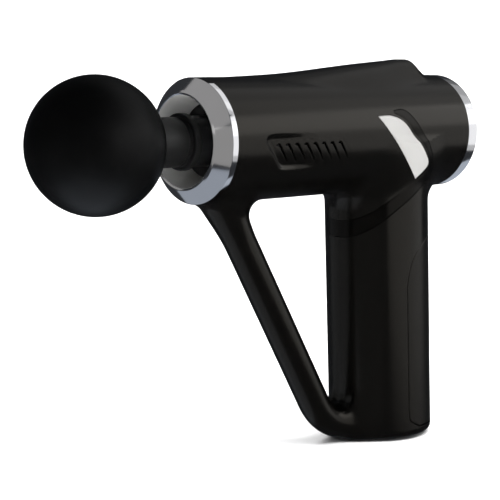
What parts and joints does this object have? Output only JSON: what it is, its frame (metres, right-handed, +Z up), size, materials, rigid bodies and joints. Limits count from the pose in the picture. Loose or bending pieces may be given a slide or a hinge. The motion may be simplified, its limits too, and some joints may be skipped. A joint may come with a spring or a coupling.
{
  "type": "massage gun",
  "caption": "Cordless percussion massage gun with a round ball head, barrel housing, D-shaped handle with slanted front strut, side vents and bright nose and rear rings.",
  "frame": {"origin": "on the floor under the middle of the whole object's box", "axes": "+Z up, +X from the ball head back along the barrel, +Y towards the user's right hand side"},
  "size_m": [0.247, 0.0604, 0.1896],
  "materials": {
    "housing": "satin dark grey-brown lacquer",
    "chrome_trim": "bright electroplated plastic",
    "satin_silver": "satin silver inlay",
    "trim_black": "semi-gloss black",
    "black_plastic": "matte black",
    "soft_touch": "soft-touch rubber coat",
    "foam_ball": "matte black dense foam rubber",
    "rubber": "matte",
    "steel": "ground steel",
    "piston_metal": "black anodised",
    "aluminium": "die cast",
    "bronze": "sintered bronze",
    "copper": "enamelled copper wire",
    "magnet": "nickel plated",
    "core": "laminated steel",
    "board": "green solder mask",
    "cell": "blue shrink sleeve",
    "panel_gloss": "piano black",
    "display_glass": "smoked",
    "button": "matte silicone"
  },
  "bodies": {
    "housing": {"left_shell": "housing", "right_shell": "housing", "front_bezel": "chrome_trim", "nose_plate": "black_plastic", "rear_ring": "chrome_trim", "rear_panel": "panel_gloss", "display_lens": "display_glass", "display_module": "black_plastic", "left_wedge_trim": "satin_silver", "right_wedge_trim": "satin_silver", "left_band_trim": "trim_black", "right_band_trim": "trim_black", "left_vent_grille": "black_plastic", "right_vent_grille": "black_plastic", "rear_grip_insert": "soft_touch", "base_foot": "rubber", "charge_inlet": "steel", "guide_bush": "bronze", "shaft_seal": "rubber", "drive_frame": "aluminium", "damper_ring": "rubber", "rear_damper": "rubber", "motor_base": "aluminium", "stator_core": "core", "stator_windings": "copper", "inner_motor_bearing": "steel", "outer_motor_bearing": "steel", "battery_cells": "cell", "upper_cell_holder": "black_plastic", "lower_cell_holder": "black_plastic", "nickel_straps": "steel", "battery_board": "board", "control_board": "board", "smoothing_capacitor": "aluminium", "button_board": "board", "tact_switches": "black_plastic", "case_screws": "steel", "motor_screws": "steel"},
    "rotor": {"rotor_bell": "steel", "rotor_magnets": "magnet", "motor_shaft": "steel", "crank_disc": "steel", "crank_pin": "steel"},
    "piston": {"piston": "piston_metal", "wrist_pin": "steel"},
    "rod": {"connecting_rod": "aluminium", "wrist_bush": "bronze", "rod_bearing": "steel"},
    "head": {"ball_head": "foam_ball", "head_stem": "black_plastic", "stem_collar": "black_plastic", "stem_rings": "rubber"},
    "power_button": {"power_button": "button"},
    "plus_button": {"plus_button": "button"},
    "minus_button": {"minus_button": "button"}
  },
  "joints": [
    {"name": "motor_spin", "type": "hinge", "parent": "housing", "child": "rotor", "pos_m": [0.0235, 0, 0.153], "axis": [0, 1, 0], "continuous": true},
    {"name": "piston_stroke", "type": "slide", "parent": "housing", "child": "piston", "axis": [-1, 0, 0], "range_m": [0, 0.012]},
    {"name": "rod_swing", "type": "hinge", "parent": "piston", "child": "rod", "pos_m": [-0.0065, 0, 0.153], "axis": [0, 1, 0], "range_deg": [-9.6, 9.6]},
    {"name": "head_pull", "type": "slide", "parent": "piston", "child": "head", "axis": [-1, 0, 0], "range_m": [0, 0.03]},
    {"name": "power_press", "type": "slide", "parent": "housing", "child": "power_button", "axis": [-1, 0, 0], "range_m": [0, 0.0008], "stiffness_N_per_m": 600},
    {"name": "plus_press", "type": "slide", "parent": "housing", "child": "plus_button", "axis": [-1, 0, 0], "range_m": [0, 0.0008], "stiffness_N_per_m": 600},
    {"name": "minus_press", "type": "slide", "parent": "housing", "child": "minus_button", "axis": [-1, 0, 0], "range_m": [0, 0.0008], "stiffness_N_per_m": 600}
  ]
}
